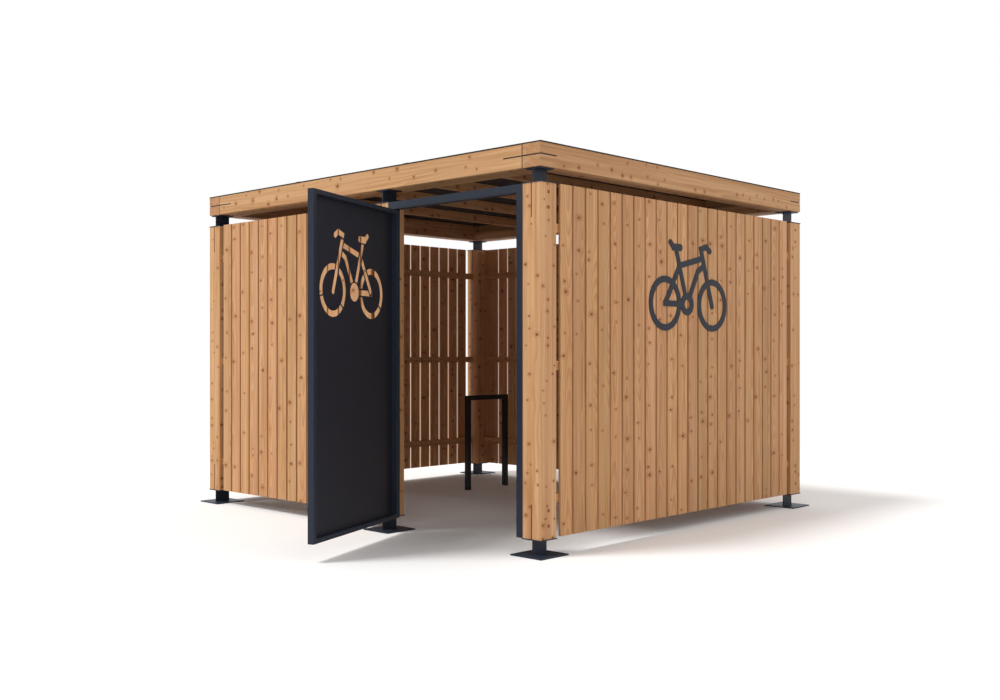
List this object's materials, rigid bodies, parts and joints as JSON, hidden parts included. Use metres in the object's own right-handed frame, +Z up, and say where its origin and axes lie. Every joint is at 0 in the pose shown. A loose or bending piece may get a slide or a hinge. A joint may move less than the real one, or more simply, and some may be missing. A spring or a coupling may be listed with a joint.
{
  "type": "timber bike shelter with a swinging door",
  "caption": "Flat-roofed timber bike shelter on steel feet, with slatted board walls, a steel-framed sheet door with a cut-out bicycle sign, and a bicycle stand inside.",
  "frame": {"origin": "on the ground under the axis of the front left post, at the middle of its base plate", "axes": "+X along the front to the right, +Y from the front to the back, +Z up; the door stands open at rest"},
  "size_m": [3.705, 4.1885, 2.476],
  "materials": {
    "timber": "planed larch, oiled",
    "steel": "powder coated, satin",
    "roof_sheet": "coated sheet, matt",
    "door_sheet": "powder coated, satin",
    "sign_sheet": "powder coated, satin",
    "stand_tube": "powder coated, satin"
  },
  "bodies": {
    "shelter": {"foot_front_left": "steel", "foot_front_right": "steel", "foot_back_left": "steel", "foot_back_right": "steel", "foot_door": "steel", "post_front_left": "timber", "post_front_right": "timber", "post_back_left": "timber", "post_back_right": "timber", "post_door": "timber", "head_front_left": "steel", "head_front_right": "steel", "head_back_left": "steel", "head_back_right": "steel", "head_door": "steel", "dowels": "steel", "plugs": "timber", "beam_left": "timber", "beam_right": "timber", "beam_front": "timber", "beam_back": "timber", "corner_plates": "steel", "ledgers": "timber", "rafters": "timber", "roof_sheet": "roof_sheet", "boards_front": "timber", "boards_left": "timber", "boards_right": "timber", "boards_back": "timber", "rails_front": "timber", "rails_left": "timber", "rails_right": "timber", "rails_back": "timber", "jamb_hinge": "steel", "jamb_latch": "steel", "door_header": "steel", "hinge_pins": "steel", "wall_sign": "sign_sheet", "bike_stand": "stand_tube"},
    "door": {"door_stile_hinge": "steel", "door_stile_latch": "steel", "door_rail_top": "steel", "door_rail_bottom": "steel", "door_panel": "door_sheet", "hinge_barrels": "steel"}
  },
  "joints": [
    {"name": "door_hinge", "type": "hinge", "parent": "shelter", "child": "door", "pos_m": [2.2025, -0.0845, 0], "axis": [0, 0, -1], "range_deg": [-67, 43]}
  ]
}
